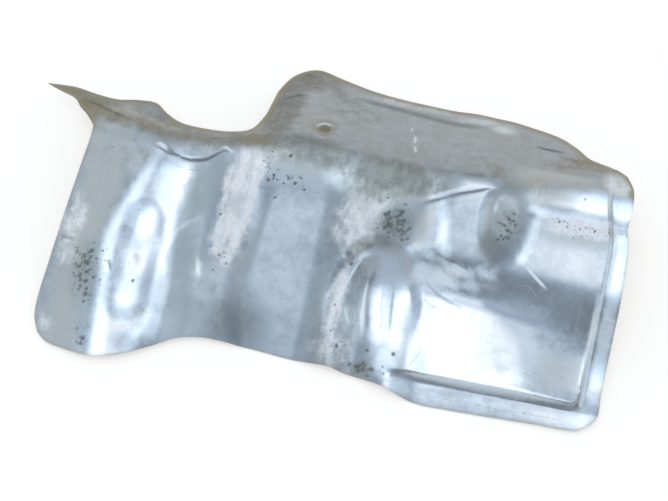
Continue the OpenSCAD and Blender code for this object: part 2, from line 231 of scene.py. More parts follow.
def rib(x, y):
    right = track(y, [(-100, -118), (-82, -112), (-60, -107), (-40, -107), (-20, -112), (0, -111), (38, -113)])
    ring = spine(x, y, (-133, -8), (-135, -64))
    waist = 1 - 0.35 * swell((y + 36) / 12)
    return (RIB_STEP * (1 - step(x - right - 8, 28)) * mix(1, 0.6, ease((-40 - y) / 30))
            + RIB_H * waist * (1 - step(ring - 10.5, 14)))


def ridge1(x, y):
    right = track(y, [(-85, -50), (-60, -58), (-40, -62), (-20, -60), (30, -54)])
    down = step(x - right, 18)
    up = step(x + 86 - 0.04 * y, 18) * ease((y + 56) / 30)
    swollen = 2.4 * ease((-26 - y) / 30) * step(x + 102, 20) * (1 - step(x - right + 3, 22))
    return RIDGE1_H * (up * (1 - down) - down) + swollen


def ridge2(x, y):
    return RIDGE2_H * step(x + 2 - 0.02 * y, 24) * (1 - ease((x - 14) / 48))


def knuckle1(x, y):
    return KNUCKLE1_H * swell((x - 37) / KNUCKLE1_R[0]) * ease((y + 22) / 40) * ease((72 - y) / 50)


def knuckle2(x, y):
    rim = oval(x, y, (114, 36), KNUCKLE2_R)
    return KNUCKLE2_H * (1 - step(rim - 0.85, mix(0.7, 0.96, ease((x - 108) / 18)))) * ease((74 - y) / 40) * (1 - 0.5 * ease((x - 102) / 30))


def pocket(x, y):
    rim = oval(x, y, (34, -45), (33, 49))
    floor = -POCKET_D * (1 - step(rim - 1, 0.26)) * ease((y + 62) / 40)
    crown = track(y, [(-85, 14), (-65, 8), (-45, 8), (-25, 12), (-8, 22), (2, 32)])
    return floor + 1.8 * swell((x - crown) / 8) * ease((8 - y) / 16) - 1.5 * swell((x - 27) / 8) * ease((-4 - y) / 20)


def crease(x, y):
    line = track(x, [(50, 32), (60, 38), (70, 42), (80, 46), (97, 52), (108, 55)])
    along = ease((x - 50) / 14) * ease((108 - x) / 10)
    return along * CREASE_H * step(y - line, 2.4) * ease((line + 16 - y) / 14)


def right_curl(x, y):
    return -CURL_D * step(x - 160, 46) * ease((-8 - y) / 36) * ease((y + 96) / 34)


def relief(x, y):
    fade = ease((54 - y) / 36)
    plain = 1 - ease((x - 50) / 36)
    return (rib(x, y) * ease((54 - y) / 29) + (ridge1(x, y) + ridge2(x, y)) * fade + left_end(x, y) + right_curl(x, y) + crease(x, y)
            + knuckle2(x, y) + (knuckle1(x, y) + pocket(x, y)) * plain)


def joggled(x, y, z):
    dx = x - (201.5 - SIDE_FLANGE_W) - track(y, PAN_RIGHT) + PAN_CORNER_R
    dy = PAN_FRONT - y + PAN_CORNER_R
    outside = np.hypot(np.maximum(dx, 0), np.maximum(dy, 0)) + np.minimum(np.maximum(dx, dy), 0) - PAN_CORNER_R
    side = ease((y + 78) / 12)
    k = ease(outside / mix(WALL_RUN, WALL_RUN * 0.7, side) + 1) * ease((x - 50) / 26) * ease((108 - y) / 30)
    lip = (UPPER_SLOPE - LOWER_SLOPE) * ramp(PAN_FRONT - y, 1) * ease((x - 50) / 26)
    return z - lip - mix(PAN_DROP, PAN_DROP * 0.36, ease((y + 66) / 60)) * k


def drawn(x, y):
    return joggled(x, y, faces(x, y) + relief(x, y))


PAD_STEP = 2.0
PAD_Z = drawn(*HOLE_AT)
PAD_TILT = np.array([
    (drawn(HOLE_AT[0] + PAD_STEP, HOLE_AT[1]) - drawn(HOLE_AT[0] - PAD_STEP, HOLE_AT[1])) / (2 * PAD_STEP),
    (drawn(HOLE_AT[0], HOLE_AT[1] + PAD_STEP) - drawn(HOLE_AT[0], HOLE_AT[1] - PAD_STEP)) / (2 * PAD_STEP),
])


def height(x, y):
    off_x, off_y = x - HOLE_AT[0], y - HOLE_AT[1]
    pad = PAD_Z + PAD_TILT[0] * off_x + PAD_TILT[1] * off_y
    return mix(pad, drawn(x, y), ease(np.hypot(off_x, off_y) / PAD_R - 1))


# Fine marks of use, with painted shade and painted highlights, in plan millimetres
def trace(x, y, pts):
    near = np.full(np.shape(x), 1e9)
    side, along = np.zeros_like(near), np.zeros_like(near)
    lengths = [math.dist(p, q) for p, q in zip(pts, pts[1:])]
    start = 0.0
    for p, q, length in zip(pts, pts[1:], lengths):
        ux, uy = (q[0] - p[0]) / length, (q[1] - p[1]) / length
        t = np.clip((x - p[0]) * ux + (y - p[1]) * uy, 0, length)
        off = np.hypot(x - p[0] - ux * t, y - p[1] - uy * t)
        better = off < near
        near = np.where(better, off, near)
        side = np.where(better, np.sign(ux * (y - p[1]) - uy * (x - p[0])), side)
        along = np.where(better, start + t, along)
        start += length
    return near, side, along, start


def paint(x, y, spots, bands=()):
    shade = np.zeros(np.shape(x))
    for cx, cy, rx, ry, strength in spots:
        shade = np.maximum(shade, strength * np.clip((1.5 - oval(x, y, (cx, cy), (rx, ry))) / 1.2, 0, 1))
    for pts, half, soft, strength in bands:
        shade = np.maximum(shade, strength * np.clip((half + soft / 2 - trace(x, y, pts)[0]) / soft, 0, 1))
    return shade


def strokes(x, y, lines):
    offset, weight, groove = np.full(np.shape(x), 9.0), np.zeros(np.shape(x)), np.zeros(np.shape(x))
    for pts, half, strength, depth in lines:
        near, side, along, total = trace(x, y, pts)
        taper = min(TAPER, 0.35 * total)
        ends = ease(along / taper) * ease((total - along) / taper)
        closer = near / half < np.abs(offset)
        offset = np.where(closer, np.where(side < 0, -near, near) / half, offset)
        weight = np.where(closer, strength * ends, weight)
        groove = np.maximum(groove, depth * ends * swell(near / (half * 1.3)))
    return offset, weight, groove


TAPER = 18.0
# Crease lines, darkened along their course as painted shade, and sunk as a shallow groove where the depth is not zero;
# those without depth, as along the foot of the pan's wall, are painted shade only. Columns: points, half width,
# darkness, groove depth.
SHADED_CREASE_LINES = [
    ([(-135, 52), (-130, 46.5), (-125, 41.5), (-118, 39), (-112, 38), (-105, 39), (-100, 40.5), (-95, 44), (-90, 48),
      (-86, 48), (-82, 45)], 0.8, 0.9, 0.5),
    ([(-142, 46.5), (-135, 44), (-128, 41), (-119, 38.5)], 0.6, 0.85, 0.2),
    ([(-195, -28), (-186, -28.5), (-177, -30)], 1.2, 0.5, 0.5),
    ([(-154, -39), (-151, -44), (-149, -49)], 0.9, 0.5, 0.2),
    ([(33, -5), (31.5, -14), (30.5, -22), (30, -30), (31, -38), (33, -48), (36, -60)], 1.3, 0.4, 0.06),
    ([(46.5, -14), (48, -30), (49.5, -45), (50, -58)], 0.9, 0.35, 0.06),
    ([(52, 33), (60, 38), (70, 42), (80, 46), (90, 49), (97, 52), (107, 55)], 0.6, 0.3, 0.0),
    ([(66, 6.5), (73, 4), (79, 2), (86, 1), (93, -1), (100, -4.5)], 0.8, 0.45, 0.12),
    ([(75, -1), (80, -6), (86, -9.5), (92, -12)], 0.7, 0.35, 0.12),
    ([(80, -3), (88, -7.5), (99, -9)], 1.2, 0.3, 0.06),
    ([(65, -9), (71, -15.5), (77, -20), (86, -23.5), (100, -26)], 0.9, 0.35, 0.06),
    ([(122, 107.5), (132, 105.5), (140, 104), (148, 102.5)], 1.2, 0.9, 0.15),
    ([(-64, 107), (-58, 113), (-51, 118), (-42, 120.5)], 1.1, 0.7, 0.1),
    ([(-54, 143), (-47, 144), (-41, 142)], 1.6, 0.45, 0.0),
    ([(140, 99), (150, 96), (158, 92)], 1.6, 0.3, 0.0),
    ([(-14, 126), (20, 121.5), (60, 117.5), (90, 115)], 2.4, 0.5, 0.35),
    ([(-206, 83), (-190, 78), (-180, 73), (-170, 68)], 1.3, 0.65, 0.1),
    ([(-210, 82), (-202, 72), (-195, 64.5), (-188, 55)], 1.2, 0.8, 0.0),
    ([(43.5, 8.5), (46, 13), (50.5, 18.5)], 0.9, 0.6, 0.1),
    ([(31, 23), (36, 16), (42, 10)], 1.2, 0.5, 0.1),
    ([(60, -80), (68, -78.6), (84, -78.4), (100, -78.2), (186, -77.4)], 1.0, 0.3, 0.0),
    ([(184, -77), (188, -74), (190, -68), (190, -20), (190.5, 15), (189, 35), (186.5, 46), (184, 58), (182.5, 72)],
     0.9, 0.32, 0.0),
]
# Pale lines: a scratch across the pan's ramp, and painted highlights along creases, ridges, the hole's rim and the
# flange
SCRATCH_AND_HIGHLIGHT_LINES = [
    ([(132, 8.0), (137, 3.8), (142, 0), (146, -2.8), (152, -7)], 0.8, 1.3, 0.0),
    ([(137, 5.5), (140, 6)], 0.5, 0.6, 0.0),
    ([(25, -3), (22, -7), (18, -14), (14.5, -24), (12, -35), (10, -44)], 0.8, 0.8, 0.0),
    ([(6, 29), (4, 25), (2, 18)], 0.9, 0.6, 0.0),
    ([(16, -38), (18, -45), (22, -53)], 0.9, 0.6, 0.0),
    ([(28, -12), (28, -30), (29, -45), (33, -62)], 0.8, 0.65, 0.0),
    ([(-93, -24), (-90, -32), (-88, -40)], 1.4, 0.35, 0.0),
    ([(-140, 48), (-135, 47.5), (-129, 43.5)], 1.0, 0.9, 0.0),
    ([(-93, 50), (-88, 50.5), (-83, 47.5), (-80, 48)], 0.9, 0.7, 0.0),
    ([(35, 104), (36.5, 97)], 0.7, 0.35, 0.0),
    ([(38.5, 95), (40, 90), (40, 84)], 0.9, 0.6, 0.0),
    ([(41, 83), (41.5, 80), (43, 74)], 0.9, 0.55, 0.0),
    ([(70, -2), (78, -7), (90, -11)], 2.0, 0.6, 0.0),
    ([(75, 0), (86, -3.5), (98, -5)], 1.4, 0.5, 0.0),
    ([(67, -8), (71, -13), (78, -18)], 1.5, 0.5, 0.0),
    ([(66, -12), (78, -10.5), (90, -14)], 2.2, 0.5, 0.0),
    ([(78, -17), (90, -20.5)], 1.6, 0.35, 0.0),
    ([(53, 37.5), (58, 40), (66, 44), (76, 48), (88, 51.5), (99, 55)], 1.2, 0.5, 0.0),
    ([(186, -4), (186, -30), (185.5, -56)], 1.2, 0.8, 0.0),
    ([(126, 8), (131, 14), (134.5, 22), (136, 32), (134, 44)], 1.8, 0.55, 0.0),
    ([(190, -16), (196, -17), (202, -17)], 0.8, 0.6, 0.0),
    ([(192, 42), (191.5, 20), (191.5, -8)], 1.6, 0.7, 0.0),
    ([(64, -79), (69, -70), (74, -60), (77, -50)], 0.7, 0.5, 0.0),
    ([(-30, 81), (-29, 86), (-24.5, 88.5), (-19.5, 87), (-18, 84)], 1.0, 0.5, 0.0),
]
DOTS = [
    (-132, -52, 1.4), (-82, 4.5, 1.2), (-170, 42, 1.1), (-155, 49, 1.0), (-158, -96, 2.0), (-158.5, -100, 1.5),
    (-163, -90, 1.2), (-54, 33, 1.5), (-47, 23, 1.2), (-40, 37, 1.5), (-35, 34.5, 1.5), (-33, 39, 1.0),
    (-28, 31.5, 1.2), (-42, 52, 1.6), (-51, 37, 1.2), (-43, 33, 0.9), (15, -12, 1.6), (27, 15.5, 1.3),
    (33, 22.5, 2.2), (37, 16.5, 1.8), (33, 14, 2.0), (36, 11.5, 1.5), (40, 22, 1.5), (41.5, 26.5, 1.8),
    (45, 21.5, 1.8), (46.5, 9, 1.6), (50, 17.5, 1.4), (31, 34, 1.3), (44, 32, 1.3), (38, 27, 1.1), (33, -77, 2.6),
    (37.5, -76, 1.8), (43, -78, 2.0), (41, -82.5, 1.4), (55.5, -66, 1.4), (37, -66, 1.4), (27, -76, 1.5),
    (16, -67, 1.6), (9, -41, 1.3), (10, -58, 1.4), (-176, -38, 1.4), (-170, -40, 2.0), (-166, -36.5, 1.9),
    (-172, -48, 1.5), (-167, -45, 2.3), (-170, -54, 1.7), (-165, -57, 1.9), (-168, -61, 1.5), (-163, -66, 2.1),
    (-163.5, -71, 1.3), (-158, -35, 1.1), (-155, -55, 1.1), (-161, -41, 1.2), (-175, -53, 1.3), (-160, -54, 1.4),
    (-163, -49, 1.2), (113, 22, 1.6), (116.5, 26, 1.7), (119, 38, 1.5), (121, 31, 1.5), (116, 33.5, 1.4),
    (113.5, 29, 1.6), (118, 21, 1.4), (110.5, 19, 1.5), (-175, 71, 1.8), (-150, -3, 0.8), (165, 57, 1.0),
    (-77, -22, 1.3), (-71, -27, 1.2), (-84, -17, 1.1), (-105, -62, 0.8), (-172.5, 69, 2.2), (-169, 68, 1.6),
]
CLUSTERS = [
    (-168, -50, 8, 17, 40, 1.5), (39, 18, 11, 9, 34, 1.6), (117, 29, 6, 11, 24, 1.2), (37, -78, 9, 4, 18, 1.5),
    (-76, -22, 9, 7, 9, 0.9), (-57, 42, 9, 12, 12, 0.9), (-54, 108, 6, 18, 14, 1.2), (162, 33, 22, 4, 14, 0.8),
    (10, -48, 4, 24, 14, 0.9), (-40, 36, 14, 4, 7, 1.0), (-159, -96, 3, 7, 7, 1.4), (14, -70, 8, 8, 8, 1.0),
    (30, 46, 26, 9, 16, 0.8), (-44, 130, 3, 4, 4, 1.0), (165, 38, 22, 4, 22, 0.9),
]
# Grime over the back panel, and painted shade along the bend and round the knuckles
GRIME_AND_SHADE = dict(
    spots=[(32, 50, 40, 13, 1.0), (20, 38, 18, 16, 0.6), (38, 20, 16, 16, 0.6), (107, 17, 10, 10, 0.6),
           (114, 32, 13, 16, 0.55), (104, 68, 13, 10, 0.45), (112, 54, 12, 10, 0.55), (-200, 74, 22, 10, 0.7),
           (-57, 62, 14, 12, 0.7), (165, 92, 22, 9, 0.45), (-59, 106, 13, 40, 1.3), (32, -78, 12, 8, 0.5),
           (108, 112, 14, 8, 0.15), (12, -78, 16, 8, 0.4), (-50, 138, 24, 13, 0.9), (-30, 66, 24, 5, 0.5), (-56, 97, 6, 8, 1.0), (-35, 57, 32, 10, 0.65),
           (140, 66, 24, 14, 0.4), (-168, -50, 12, 24, 0.4), (-20, 54, 44, 8, 0.7), (-56, 84, 10, 24, 0.6),
           (-10, 104, 18, 12, 0.3), (70, 80, 30, 14, 0.2), (150, 84, 24, 10, 0.45)],
    bands=[([(-60, 60), (-48, 66), (-20, 65.5), (0, 62.5), (30, 61), (66, 61), (102, 62)], 1.5, 6, 0.6),
           ([(-190, 66), (-165, 66), (-150, 61), (-130, 58), (-96, 58), (-73, 60), (-58, 63)], 6, 12, 0.8),
           ([(-160, 80), (-130, 68), (-80, 64)], 5, 10, 0.5),
           ([(-185, 54), (-150, 51), (-96, 50), (-60, 54)], 2, 12, 0.5),
           ([(-38, 143), (-20, 121), (-6, 109), (4, 98)], 1, 9, 0.6)])
# Painted bluish shade: the rib's ring, the pocket's top, the ramp and the foot of the pan's wall
PAINTED_BLUE_SHADE = dict(
    spots=[(-122, -44, 6, 18, 0.45), (-127, -93, 12, 8, 0.4), (43, -7, 17, 11, 0.6), (60, -2, 9, 9, 0.4), (110, -8, 16, 8, 0.4)],
    bands=[([(66, -19), (104, -23), (150, -28)], 0.5, 10, 0.6), ([(-137, 5), (-130, 4.5), (-125, 1), (-122, -7), (-121, -16)], 2.5, 8, 0.5),
           ([(61, -18), (63, -40), (63, -76)], 1.5, 9, 0.55), ([(57, -79.5), (70, -78.9), (100, -78.4), (140, -77.9), (186, -77.2)], 1.0, 1.8, 0.9),
           ([(64, -78.6), (90, -78.1)], 1.8, 2.2, 0.8), ([(158, -76.9), (186, -76.5)], 1.2, 2.0, 0.5),
           ([(185.5, -74), (186.5, -20), (187, 10), (186, 30), (183, 46), (181.5, 62)], 1.0, 2.5, 0.2), ([(126, -28), (140, -40), (146, -54)], 5, 16, 0.35), ([(112, -21), (128, -25), (150, -27)], 3, 6, 0.6)])
# Painted pale blue sky reflection on the pan's wall, the ramp and the right flange
PAINTED_PALE_REFLECTION = dict(
    bands=[([(187.5, -73), (188.3, -20), (188.8, 10), (188, 30)], 1.6, 2.4, 0.9), ([(188, 30), (185.5, 46)], 1.2, 2.4, 0.5)],
    spots=[(195, -26, 8, 22, 0.5), (120, -76.4, 46, 1.9, 1.1), (-144, -6, 6, 9, 0.6), (77, -9, 15, 6, 0.9), (64, -9, 9, 9, 0.8), (88, -3, 12, 4, 0.9), (108, -2, 9, 5, 0.7), (96, 26, 12, 12, 0.3),
           (98, -10, 14, 4, 0.5), (67, 2, 7, 4, 0.6)])
SAGE = dict(
    spots=[(-80, -42, 20, 22, 0.45), (-98, 20, 14, 34, 0.85), (-98, -34, 14, 40, 0.75), (-88, -60, 20, 20, 0.4), (20, -54, 12, 22, 0.6),
           (-30, 46, 30, 10, 0.45), (-62, -60, 14, 24, 0.5), (112, 38, 14, 18, 0.5), (165, -58, 26, 20, 0.15),
           (-130, 52, 30, 9, 0.6), (150, 58, 22, 12, 0.3)],
    bands=[([(-4, 34), (-4, -78)], 2, 16, 0.8), ([(-56, 34), (-56, -40)], 3, 9, 0.5),
           ([(28, -14), (28, -66)], 4, 9, 0.4)])
HAZE = dict(
    spots=[(14, 14, 14, 24, 0.8), (14, -72, 14, 12, 0.65), (-184, -15, 8, 17, 0.75), (-184, -39, 8, 8, 0.65),
           (-72, 48, 14, 8, 0.35), (-187, -88, 6, 6, 0.5), (165, 38, 28, 7, 0.7), (140, 62, 18, 10, 0.35), (-104, 51, 20, 7, 0.35), (-75, -8, 13, 13, 0.5),
           (-90, -33, 4, 7, 0.3), (-134, -38, 6, 10, 0.5), (196, -10, 6, 18, 0.2),
           (25, -60, 10, 14, 0.15)],
    bands=[([(-73, 46), (-73, 20), (-75, 0), (-77, -18)], 6, 12, 0.65),
           ([(-61, 40), (-63, 15), (-65, 0), (-68, -12), (-73, -26)], 2, 6, 1.2), ([(-81, 34), (-82, 8), (-80, -20)], 2, 7, 1.0),
           ([(11, -22), (8, -45), (10, -60), (12, -74)], 4, 9, 0.85)])
DULL = dict(
    spots=[(57, 22, 7, 15, 0.7), (-150, 34, 10, 16, 0.7), (-145, 50, 20, 13, 0.6), (-40, 52, 60, 12, 0.6), (30, 46, 40, 18, 0.8), (140, 62, 22, 14, 0.75), (165, 32, 30, 8, 0.5),
           (170, -58, 22, 18, 0.4), (112, 36, 16, 20, 0.6), (22, 12, 24, 22, 0.5), (-62, -20, 8, 50, 0.35),
           (-160, 84, 26, 10, 0.3)],
    bands=[([(-72, 48), (-73, 20), (-75, 0), (-77, -20)], 9, 10, 0.6),
           ([(-184, 60), (-176, 20), (-178, -30), (-178, -100)], 14, 22, 0.85),
           ([(-165, 62), (-166, 10), (-172, -20)], 12, 16, 0.85)])
# Painted highlights: the white bands of the rib, the pan, the facet, the ramp and other bright reflections, laid on as
# pale colour
PAINTED_HIGHLIGHT = dict(
    spots=[(122, -75.4, 46, 2.5, 1.4), (50, -72, 8, 10, 0.9), (-111.5, -54, 5, 16, 0.9), (-114, -76, 6, 12, 1.0), (-120, 22, 12, 22, 1.0), (-133, -14, 7, 14, 0.9), (-134, -62, 9, 17, 0.9), (-114, -48, 6, 22, 0.9), (-134, -36, 18, 46, 0.5),
           (42, -38, 7, 28, 0.7), (54, -42, 7, 26, 0.8), (90, -52, 29, 30, 0.75), (116, -68, 34, 7, 0.4), (174, 57, 17, 10, 0.95), (164, 60, 20, 11, 0.5), (194, 56, 8, 14, 0.9),
           (60, 46, 8, 6, 0.6), (79, -5, 12, 4, 0.8), (168, -34, 20, 10, 0.3), (-150, 32, 9, 14, 0.35), (84, -6, 20, 7, 0.9), (9, -8.5, 2, 2, 0.9), (-3, 46, 13, 10, 0.8), (-80, -9, 5, 12, 0.5), (-69, -8, 4, 12, 0.5), (-59, 12, 5, 18, 0.6), (19, -50, 6, 14, 0.4),
           (188, 75, 12, 15, 0.95), (66, -86, 12, 7, 0.6), (99, 34, 5, 16, 0.6), (64, -34, 5, 40, 0.5),
           (72, -8, 10, 9, 0.9), (48, -6, 22, 13, 0.9), (-150, 46, 18, 14, 0.3), (-22, 96, 14, 9, 0.15),
           (100, 119, 10, 6, 0.6), (34, 130, 40, 5, 0.45), (84, 124, 26, 5, 0.4), (145, 72, 36, 12, 0.4), (128, 76, 16, 12, 0.2)],
    bands=[([(-134, 42), (-141, 21), (-147, 2), (-153, -13), (-155, -25), (-154, -40), (-151, -60), (-149, -80),
             (-147, -104)], 4, 10, 0.95),
           ([(-116, 36), (-116, 5), (-114, -25), (-112, -40), (-111, -55), (-113, -68), (-119, -82), (-126, -94)],
            3, 9, 0.8),
           ([(69, 40), (72, 26), (75, 12), (78, -2)], 4, 8, 0.8), ([(72, -86), (190, -86), (196, -70)], 5, 6, 0.3),
           ([(196, 34), (196, -2), (196, -56)], 5, 6, 0.85), ([(130, 44), (150, 44), (200, 43)], 2.5, 5, 0.75),
           ([(129, 11), (132, 20), (133, 36)], 2.5, 8, 0.9), ([(186, -4), (185, -60)], 1.5, 4, 0.7),
           ([(120, -75.0), (178, -74.8)], 0.8, 1.8, 0.4)])
# Painted shade below the ridge, round the pocket and the second knuckle and along the bend, with a few stains on the
# back panel
SHADE_AND_STAIN = dict(
    spots=[(-57, -67, 22, 23, 0.9), (-44, 68, 22, 7, 0.45), (-61, 99, 8, 20, 0.35), (-152, 76, 22, 7, 0.12), (80, -72, 5, 6, 0.2),
           (103, 69, 14, 10, 0.12), (114, 14, 9, 7, 0.2)],
    bands=[([(-38, 141), (-22, 130), (-5, 115), (10, 105)], 3, 10, 0.4), ([(38, 5), (30, 3), (18, -3), (12, -10), (6, -20), (3, -30)], 2.5, 6, 0.5),
           ([(18, 61), (60, 60), (100, 61)], 1, 5, 0.3), ([(-56, 66), (-20, 65)], 1, 5, 0.35),
           ([(74, -78.5), (92, -78.5)], 1, 3, 0.3)])
PITS = dict(
    spots=[(38, 19, 14, 12, 0.9), (116, 29, 8, 12, 0.8), (36, -78, 11, 6, 0.8), (16, -68, 10, 12, 0.35),
           (-76, -22, 10, 9, 0.5), (-157, -46, 9, 18, 0.4), (-52, 112, 9, 20, 0.35), (-60, 40, 10, 14, 0.35),
           (30, 44, 30, 16, 0.3), (160, -66, 24, 10, 0.3), (-24, 82, 9, 9, 0.5)],
    bands=[([(-174, -38), (-167, -46), (-168, -56), (-163, -66)], 5, 9, 1.0), ([(-56, 34), (-28, 36)], 3, 7, 0.4),
           ([(144, 41), (186, 36)], 3, 5, 0.6), ([(9, -26), (9, -76)], 4, 6, 0.35)])
TAN = dict(
    spots=[(-222, 88, 26, 9, 1.0), (-196, 76, 20, 12, 0.95), (168, 95, 22, 9, 0.55), (-24, 82, 9, 9, 0.6),
           (-66, 60, 18, 9, 0.45), (188, 84, 6, 12, 0.3), (-150, 66, 30, 9, 0.4)],
    bands=[([(-68, 80), (-68, 110), (-66, 126), (-59, 142), (-43, 151), (-20, 145)], 2, 9, 0.85),
           ([(-190, 63), (-150, 58), (-96, 55), (-66, 58)], 2, 10, 0.3),
           ([(-178, 86), (-150, 88), (-139, 80), (-126, 72), (-105, 69), (-87, 67), (-75, 71), (-69, 87)], 1, 5, 0.7)])


def wobble(x, y):
    rng = np.random.default_rng(7)
    total = np.zeros(np.shape(x))
    for wave, size, number in ((46, 0.06, 5), (21, 0.016, 7), (10, 0.004, 7)):
        for _ in range(number):
            angle, phase = rng.uniform(0, math.pi), rng.uniform(0, 2 * math.pi)
            pitch = wave * rng.uniform(0.8, 1.25)
            total += size / number ** 0.5 * np.sin(
                (x * math.cos(angle) + y * math.sin(angle)) * 2 * math.pi / pitch + phase)
    return total


def dents(x, y):
    left = 0.8 * swell((x + 184) / 7) * (swell((y + 15) / 9) + 0.8 * swell((y + 39) / 7))
    arc, side = trace(x, y, [(-92, 6), (-98, 0), (-105, -6), (-110, -13), (-113, -22)])[:2]
    fold_arc = -0.22 * step(-side * arc, 4) * ease((22 - arc) / 18)
    patch = 0.4 * swell((x + 127) / 11) * swell((y - 24) / 16)
    leaf = 0.12 * swell((x - 56) / 5) * swell((y + 35) / 26) + 0.16 * swell((x - 39) / 5) * swell((y + 38) / 24)
    hollow = -0.6 * swell((x - 80) / 7) * swell((y + 66) / 10)
    hole_rim = 0.35 * swell((np.hypot(x - HOLE_AT[0], y - HOLE_AT[1]) - 12) / 3)
    back = -0.6 * swell((x + 45) / 12) * swell((y - 118) / 16) + 0.5 * swell((x - 88) / 26) * swell((y - 96) / 10)
    pan_fall = -0.8 * step(x - 130, 76) * ease((-20 - y) / 30) * ease((y + 92) / 40)
    return left + fold_arc + patch + leaf + hollow + hole_rim + back + pan_fall


def surface(x, y):
    away = ease(np.hypot(x - HOLE_AT[0], y - HOLE_AT[1]) / PAD_R - 0.5)
    groove = strokes(x, y, SHADED_CREASE_LINES)[2]
    return height(x, y) + (wobble(x, y) + dents(x, y) - groove) * away


# Net of the sheet: a fine upper side, and a lower side of half its cells
STATIONS = len(FRONT_EDGE) - 1
CELLS = 12
FACE_CELLS = 170
PANEL_CELLS = 54
RIDGE_POINTS = [(x, float(track(x, RIDGE_LINE))) for x in RIDGE_X]


def strip(near, far, left, right, v):
    t = np.linspace(0, STATIONS, STATIONS * CELLS + 1)
    u = (t / STATIONS)[:, None, None]
    row = v[None, :, None]
    near_at, far_at = curve(near, t), curve(far, t)
    left_at = curve(left, v * (len(left) - 1))
    right_at = curve(right, v * (len(right) - 1))
    to_left = left_at - mix(near_at[0], far_at[0], v[:, None])
    to_right = right_at - mix(near_at[-1], far_at[-1], v[:, None])
    return (mix(near_at[:, None], far_at[:, None], row)
            + to_left * np.maximum(0, 1 - u / SIDE_FADE) ** 2
            + to_right * np.maximum(0, 1 - (1 - u) / SIDE_FADE) ** 2)


plan = np.concatenate([
    strip(FRONT_EDGE, RIDGE_POINTS, LEFT_EDGE, RIGHT_EDGE, np.linspace(0, 1, FACE_CELLS + 1)),
    strip(RIDGE_POINTS, BACK_EDGE, GUSSET_EDGE, SHOULDER_EDGE, np.linspace(0, 1, PANEL_CELLS + 1)[1:]),
], axis=1)
columns, rows = plan.shape[:2]


def loop_of(grid):
    return np.concatenate([grid[:, 0], grid[-1, 1:], grid[-2::-1, -1], grid[0, -2:0:-1]])


# Ring of cells round the bolt hole, down to its circle in the plane of the pad
HOLE_CELLS = 6
RINGS = 5
PAD_NORMAL = np.array([-PAD_TILT[0], -PAD_TILT[1], 1.0])
PAD_NORMAL /= np.linalg.norm(PAD_NORMAL)
hole_i, hole_j = np.unravel_index(np.argmin(np.hypot(plan[..., 0] - HOLE_AT[0], plan[..., 1] - HOLE_AT[1])), (columns, rows))
i_lo, j_lo = (hole_i - HOLE_CELLS) // 2 * 2, (hole_j - HOLE_CELLS) // 2 * 2
i_hi, j_hi = i_lo + 2 * HOLE_CELLS, j_lo + 2 * HOLE_CELLS
grid = np.arange(columns * rows).reshape(columns, rows)
flat_plan = plan.reshape(-1, 2)
around = loop_of(grid[i_lo:i_hi + 1, j_lo:j_hi + 1])
across_x = np.array([1.0, 0, PAD_TILT[0]])
across_x /= np.linalg.norm(across_x)
across_y = np.cross(PAD_NORMAL, across_x)
off = flat_plan[around] - HOLE_AT
off = np.c_[off, off @ PAD_TILT]
angle = np.arctan2(off @ across_y, off @ across_x)
circle = HOLE_AT + HOLE_D / 2 * (np.outer(np.cos(angle), across_x) + np.outer(np.sin(angle), across_y))[:, :2]
ring_plan = np.concatenate([mix(flat_plan[around], circle, (k / RINGS) ** 0.8) for k in range(1, RINGS + 1)])

top_plan = np.concatenate([flat_plan, ring_plan])
X, Y = top_plan.T
top = np.c_[X, Y, surface(X, Y)]
keep_grid = grid[::2, ::2]
n_around = len(around)
ring_grid = columns * rows + np.arange(RINGS * n_around).reshape(RINGS, n_around)
under_index = np.concatenate([keep_grid.ravel(), ring_grid[:, ::2].ravel()])
ux, uy = top_plan[under_index].T
STEP = 0.5
slope_x = (height(ux + STEP, uy) - height(ux - STEP, uy)) / (2 * STEP)
slope_y = (height(ux, uy + STEP) - height(ux, uy - STEP)) / (2 * STEP)
normal = np.c_[-slope_x, -slope_y, np.ones_like(ux)]
normal /= np.linalg.norm(normal, axis=1, keepdims=True)
bottom = np.c_[ux, uy, height(ux, uy)] - SHEET_T * normal
everything = np.concatenate([top, bottom])
cad_low, cad_high = [np.array(c) * 1000 for c in cad_box]
ORIGIN = np.array([-15.4188, 22.0, -0.0683])
shift = -ORIGIN
placed = np.clip(everything + shift, cad_low + 0.01, cad_high - 0.01)


def quads(grid):
    return np.stack([grid[:-1, :-1], grid[1:, :-1], grid[1:, 1:], grid[:-1, 1:]], -1).reshape(-1, 4)


def quads_outside(grid, lo_i, hi_i, lo_j, hi_j):
    cells = np.stack([grid[:-1, :-1], grid[1:, :-1], grid[1:, 1:], grid[:-1, 1:]], -1)
    keep = np.ones(cells.shape[:2], bool)
    keep[lo_i:hi_i, lo_j:hi_j] = False
    return cells[keep]


def ring_quads(loops):
    ahead = [np.roll(loop, -1) for loop in loops]
    return np.concatenate([np.stack([loops[k], ahead[k], ahead[k + 1], loops[k + 1]], -1)
                           for k in range(len(loops) - 1)])


def wall(upper, lower):
    a, b = upper[::2], upper[1::2]
    c, e = np.roll(a, -1), np.roll(lower, -1)
    return np.concatenate([np.stack(t, -1) for t in ((a, b, lower), (b, e, lower), (b, c, e))])


base = len(top)
small = base + np.arange(keep_grid.size).reshape(keep_grid.shape)
small_ring = base + keep_grid.size + np.arange(RINGS * n_around // 2).reshape(RINGS, n_around // 2)
small_around = loop_of(small[i_lo // 2:i_hi // 2 + 1, j_lo // 2:j_hi // 2 + 1])
upper = np.concatenate([quads_outside(grid, i_lo, i_hi, j_lo, j_hi), ring_quads([around, *ring_grid])])
lower = np.concatenate([quads_outside(small, i_lo // 2, i_hi // 2, j_lo // 2, j_hi // 2),
                        ring_quads([small_around, *small_ring])])[:, ::-1]
bore = wall(ring_grid[-1], small_ring[-1])
rim = wall(loop_of(grid), loop_of(small))[:, ::-1]

